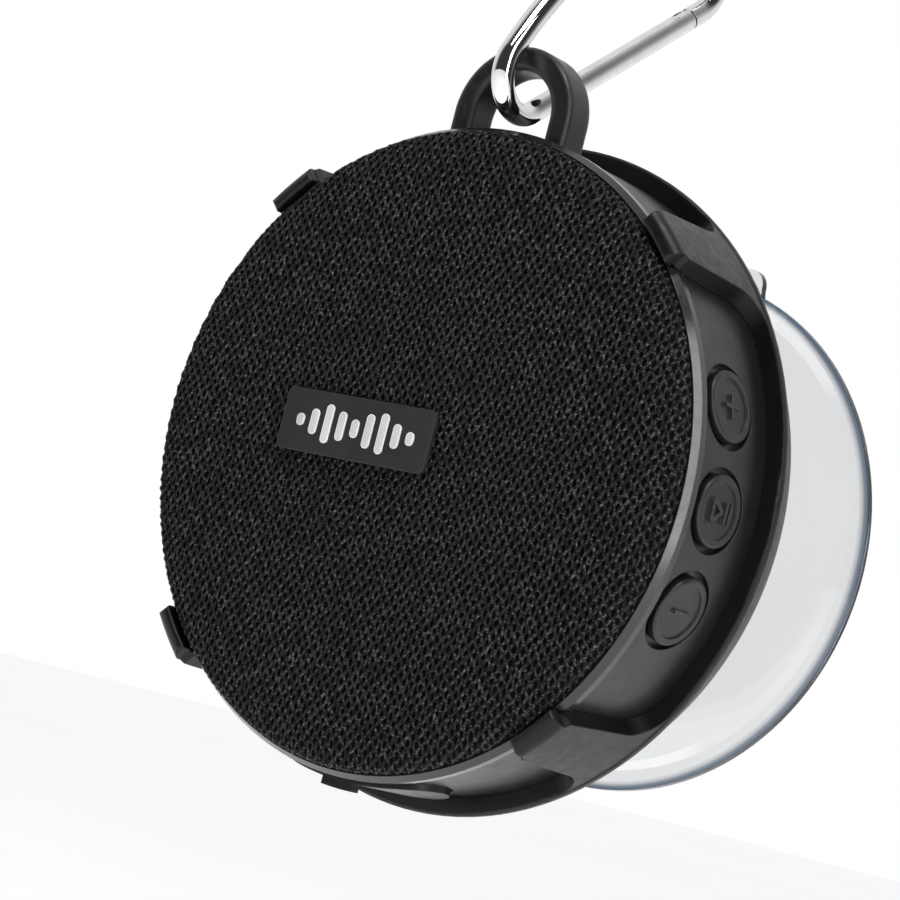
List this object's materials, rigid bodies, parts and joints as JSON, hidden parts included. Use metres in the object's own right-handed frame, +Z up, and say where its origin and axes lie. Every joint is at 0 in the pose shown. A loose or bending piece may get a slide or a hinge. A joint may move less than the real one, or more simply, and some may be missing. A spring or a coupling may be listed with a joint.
{
  "type": "shower speaker",
  "caption": "Round shower speaker: mesh front, rubber bumper cage, side keys, port flap, hang loop with snap hook, and a screw-on clear suction cup.",
  "frame": {"origin": "centre of the suction cup's flat sealing face, on the wall plane", "axes": "+Z up through the hang loop, the mesh front faces -Y, the suction cup's sealing face faces +Y, and the keys are on the +X side"},
  "size_m": [0.1124, 0.0713, 0.1625],
  "materials": {
    "mesh": "coarse woven black mesh",
    "bezel": "satin black moulding",
    "housing": "satin black moulding",
    "cover": "fine-grained black moulding",
    "cage_rubber": "matte black rubber",
    "loop_rubber": "matte black rubber",
    "key_rubber": "matte black rubber",
    "badge": "fine matte dark grey",
    "badge_mark": "white raised bars",
    "seal": "soft silicone",
    "board": "green solder mask",
    "chip": "black moulded package",
    "steel": "plated steel",
    "ferrite": "sintered ferrite",
    "coil": "copper winding",
    "cone": "pressed paper",
    "cap": "pressed dome",
    "surround": "thin rubber roll",
    "spider": "resin-stiffened cloth",
    "cell_wrap": "shrink-wrapped cell",
    "foam": "closed-cell foam",
    "lead": "insulated wire",
    "brass": "turned brass",
    "hub": "satin black moulding",
    "clear_vinyl": "clear soft vinyl",
    "chrome": "polished chrome plate"
  },
  "bodies": {
    "suction_mount": {"suction_cup": "clear_vinyl", "cup_hub": "hub", "cup_stud": "steel"},
    "thread_ring": {"hub_washer": "seal"},
    "speaker_body": {"grille_mesh": "mesh", "front_bezel": "bezel", "front_housing": "housing", "grille_support": "housing", "rear_cover": "cover", "bumper_cage": "cage_rubber", "flap_anchor": "cage_rubber", "hang_loop": "loop_rubber", "badge_plate": "badge", "badge_bars": "badge_mark", "housing_seal": "seal", "button_seals": "seal", "driver_gasket": "seal", "button_board": "board", "port_board": "board", "main_board": "board", "tact_switches": "chip", "amplifier_chip": "chip", "audio_socket": "chip", "microphone": "chip", "status_led": "chip", "charging_socket": "steel", "driver_frame": "steel", "top_plate": "steel", "yoke": "steel", "driver_screws": "steel", "board_screws": "steel", "housing_screws": "steel", "radio_module": "steel", "magnet_ring": "ferrite", "driver_surround": "surround", "driver_spider": "spider", "battery_cell": "cell_wrap", "battery_pad": "foam", "speaker_leads": "lead", "battery_leads": "lead", "button_lead": "lead", "threaded_insert": "brass"},
    "plus_key": {"button_plus": "key_rubber"},
    "play_key": {"button_play": "key_rubber"},
    "minus_key": {"button_minus": "key_rubber"},
    "flap": {"port_flap": "cage_rubber"},
    "cone": {"driver_cone": "cone", "dust_cap": "cap", "voice_coil": "coil"},
    "snap_hook": {"carabiner_body": "chrome"},
    "hook_gate": {"carabiner_gate": "chrome", "gate_pin": "steel", "gate_spring": "steel"}
  },
  "joints": [
    {"name": "thread_travel", "type": "slide", "parent": "suction_mount", "child": "thread_ring", "axis": [0, -1, 0], "range_m": [0, 0.00508]},
    {"name": "cup_unscrew", "type": "hinge", "parent": "thread_ring", "child": "speaker_body", "pos_m": [0, -0.026, 0], "axis": [0, -1, 0], "range_deg": [0, 1440]},
    {"name": "plus_press", "type": "slide", "parent": "speaker_body", "child": "plus_key", "axis": [-0.9532, 0, -0.3024], "range_m": [0, 0.0007], "stiffness_N_per_m": 300},
    {"name": "play_press", "type": "slide", "parent": "speaker_body", "child": "play_key", "axis": [-1, 0, 0], "range_m": [0, 0.0007], "stiffness_N_per_m": 300},
    {"name": "minus_press", "type": "slide", "parent": "speaker_body", "child": "minus_key", "axis": [-0.9532, 0, 0.3024], "range_m": [0, 0.0007], "stiffness_N_per_m": 300},
    {"name": "flap_open", "type": "hinge", "parent": "speaker_body", "child": "flap", "pos_m": [0, -0.05005, -0.0536], "axis": [1, 0, 0], "range_deg": [0, 110]},
    {"name": "cone_travel", "type": "slide", "parent": "speaker_body", "child": "cone", "axis": [0, -1, 0], "range_m": [-0.0015, 0.0015], "stiffness_N_per_m": 600, "deforming": ["driver_surround", "driver_spider"]},
    {"name": "hook_swing", "type": "hinge", "parent": "speaker_body", "child": "snap_hook", "pos_m": [0, -0.06095, 0.066], "axis": [1, 0, 0], "range_deg": [-20, 100]},
    {"name": "gate_open", "type": "hinge", "parent": "snap_hook", "child": "hook_gate", "pos_m": [0, -0.05152, 0.06395], "axis": [1, 0, 0], "range_deg": [0, 25], "stiffness_Nm_per_rad": 0.05, "springref_deg": -22.92}
  ],
  "couplings": [
    {"joint": "thread_travel", "follows": "cup_unscrew", "m_per_rad": 0.00020213}
  ]
}
